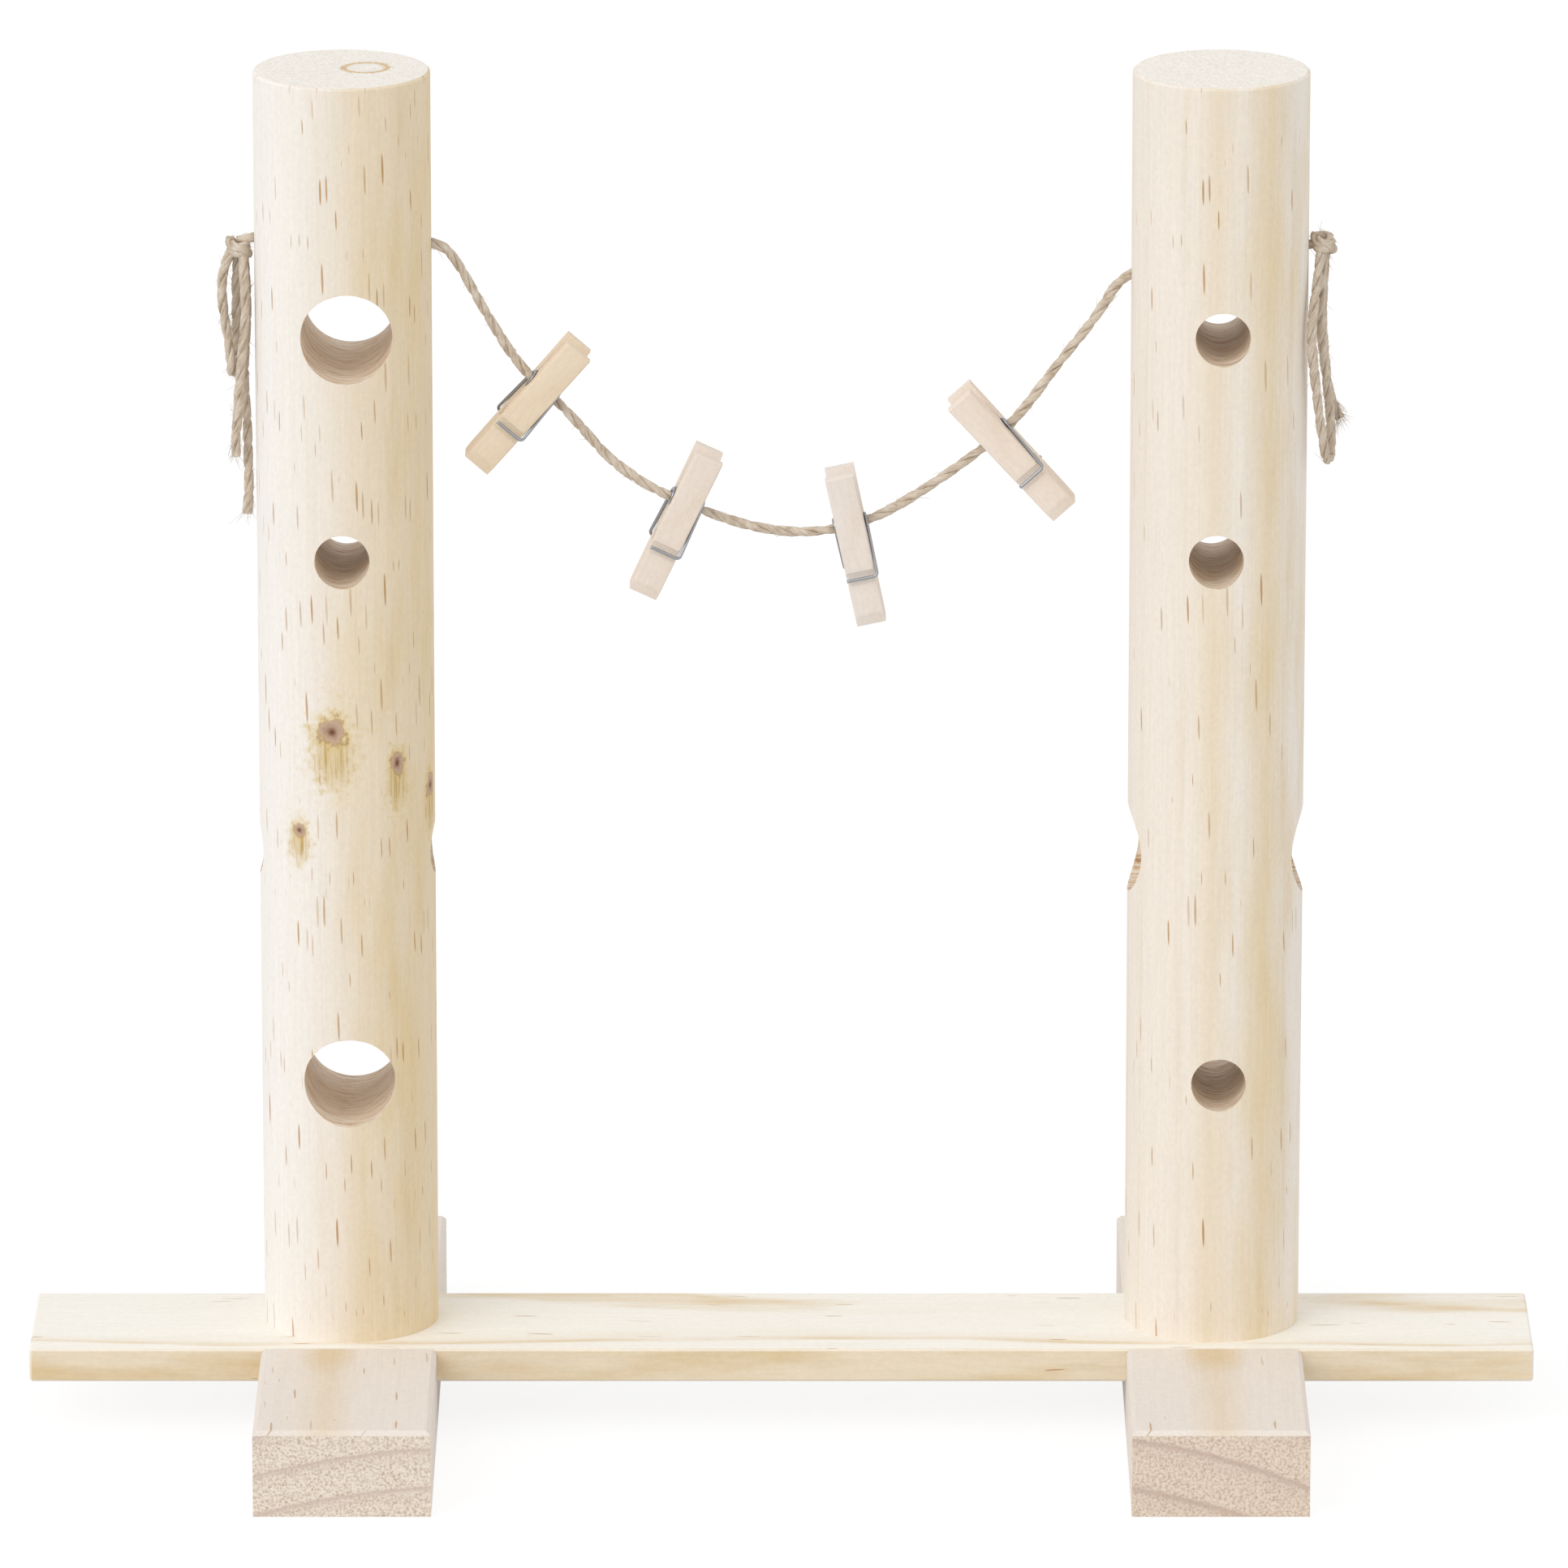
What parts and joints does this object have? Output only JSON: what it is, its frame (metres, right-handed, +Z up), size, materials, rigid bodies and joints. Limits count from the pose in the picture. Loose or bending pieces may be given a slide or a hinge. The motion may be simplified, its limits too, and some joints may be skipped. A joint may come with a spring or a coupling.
{
  "type": "forage stand",
  "caption": "Pine stand: drilled round posts on a footed crossbar, with a twine line tied between them that carries small spring pegs.",
  "frame": {"origin": "on the floor, under the middle of the crossbar", "axes": "+X along the crossbar to the right, +Y away from the viewer, +Z up along the posts"},
  "size_m": [0.333, 0.1554, 0.3045],
  "materials": {
    "pine_board": "planed, unfinished",
    "pine_feet": "planed, unfinished",
    "pine_posts": "turned, unfinished",
    "peg_wood": "smooth, unfinished",
    "zinc_screws": "zinc plated",
    "spring_wire": "bright wire",
    "jute_twine": "natural jute"
  },
  "bodies": {
    "stand": {"crossbar": "pine_board", "left_foot": "pine_feet", "left_post": "pine_posts", "left_post_screw": "zinc_screws", "right_foot": "pine_feet", "right_post": "pine_posts", "right_post_screw": "zinc_screws", "twine_line": "jute_twine", "left_bow_loop": "jute_twine", "left_short_tail": "jute_twine", "left_long_tail": "jute_twine", "right_bow_loop": "jute_twine", "right_tail": "jute_twine", "left_knot": "jute_twine", "right_knot": "jute_twine"},
    "peg_1": {"peg_1_front_lever": "peg_wood", "peg_1_spring": "spring_wire"},
    "peg_1_back": {"peg_1_back_lever": "peg_wood"},
    "peg_2": {"peg_2_front_lever": "peg_wood", "peg_2_spring": "spring_wire"},
    "peg_2_back": {"peg_2_back_lever": "peg_wood"},
    "peg_3": {"peg_3_front_lever": "peg_wood", "peg_3_spring": "spring_wire"},
    "peg_3_back": {"peg_3_back_lever": "peg_wood"},
    "peg_4": {"peg_4_front_lever": "peg_wood", "peg_4_spring": "spring_wire"},
    "peg_4_back": {"peg_4_back_lever": "peg_wood"}
  },
  "joints": [
    {"name": "peg_1_swing", "type": "hinge", "parent": "stand", "child": "peg_1", "pos_m": [-0.0523, 0.00375, 0.233], "axis": [0.7547, 0, -0.6561], "continuous": true},
    {"name": "peg_1_squeeze", "type": "hinge", "parent": "peg_1", "child": "peg_1_back", "pos_m": [-0.0523, 0.00375, 0.233], "axis": [0.7547, 0, -0.6561], "range_deg": [0, 22], "stiffness_Nm_per_rad": 0.005, "springref_deg": -22.92, "deforming": ["peg_1_spring"]},
    {"name": "peg_2_swing", "type": "hinge", "parent": "stand", "child": "peg_2", "pos_m": [-0.021, 0.00375, 0.2071], "axis": [0.9048, 0, -0.4258], "continuous": true},
    {"name": "peg_2_squeeze", "type": "hinge", "parent": "peg_2", "child": "peg_2_back", "pos_m": [-0.021, 0.00375, 0.2071], "axis": [0.9048, 0, -0.4258], "range_deg": [0, 22], "stiffness_Nm_per_rad": 0.005, "springref_deg": -22.92, "deforming": ["peg_2_spring"]},
    {"name": "peg_3_swing", "type": "hinge", "parent": "stand", "child": "peg_3", "pos_m": [0.0152, 0.00375, 0.202], "axis": [0.9781, 0, 0.2079], "continuous": true},
    {"name": "peg_3_squeeze", "type": "hinge", "parent": "peg_3", "child": "peg_3_back", "pos_m": [0.0152, 0.00375, 0.202], "axis": [0.9781, 0, 0.2079], "range_deg": [0, 22], "stiffness_Nm_per_rad": 0.005, "springref_deg": -22.92, "deforming": ["peg_3_spring"]},
    {"name": "peg_4_swing", "type": "hinge", "parent": "stand", "child": "peg_4", "pos_m": [0.0471, 0.00375, 0.2222], "axis": [0.7408, 0, 0.6717], "continuous": true},
    {"name": "peg_4_squeeze", "type": "hinge", "parent": "peg_4", "child": "peg_4_back", "pos_m": [0.0471, 0.00375, 0.2222], "axis": [0.7408, 0, 0.6717], "range_deg": [0, 22], "stiffness_Nm_per_rad": 0.005, "springref_deg": -22.92, "deforming": ["peg_4_spring"]}
  ]
}
